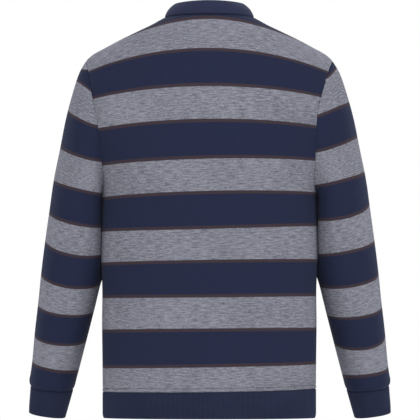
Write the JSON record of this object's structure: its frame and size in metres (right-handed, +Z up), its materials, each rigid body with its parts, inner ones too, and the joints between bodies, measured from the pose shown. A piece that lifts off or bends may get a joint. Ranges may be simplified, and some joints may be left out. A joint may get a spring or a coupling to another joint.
{
  "type": "zip-neck sweater",
  "caption": "Long-sleeved striped knit sweater with a low rib stand collar, a half-length neck zip, rib cuffs and a rib hem band, worn and hollow.",
  "frame": {"origin": "middle of the neck opening, at the height where the shoulder seams meet the collar", "axes": "+Z up towards the head, +Y towards the wearer's back, +X towards the wearer's left"},
  "size_m": [0.6424, 0.2554, 0.7412],
  "materials": {
    "striped_jersey": "fine brushed knit in broad navy and heather grey stripes with a thin brown line at each edge, matt with a soft nap",
    "navy_rib": "fine one-by-one rib knit in plain navy, matt",
    "zip_webbing": "navy woven tape, matt",
    "zip_metal": "dull nickel-grey metal, satin"
  },
  "bodies": {
    "garment": {"back": "striped_jersey", "front": "striped_jersey", "sleeve_left": "striped_jersey", "sleeve_right": "striped_jersey", "collar": "navy_rib", "hem_band": "navy_rib", "cuff_left": "navy_rib", "cuff_right": "navy_rib", "zip_tape_left": "zip_webbing", "zip_tape_right": "zip_webbing", "zip_slider": "zip_metal", "zip_stop": "zip_metal"},
    "pull_tab": {"zip_tab": "zip_metal"}
  },
  "joints": [
    {"name": "pull_tab_hinge", "type": "hinge", "parent": "garment", "child": "pull_tab", "pos_m": [0, -0.0688, -0.05115], "axis": [-1, 0, 0], "range_deg": [0, 170]}
  ]
}
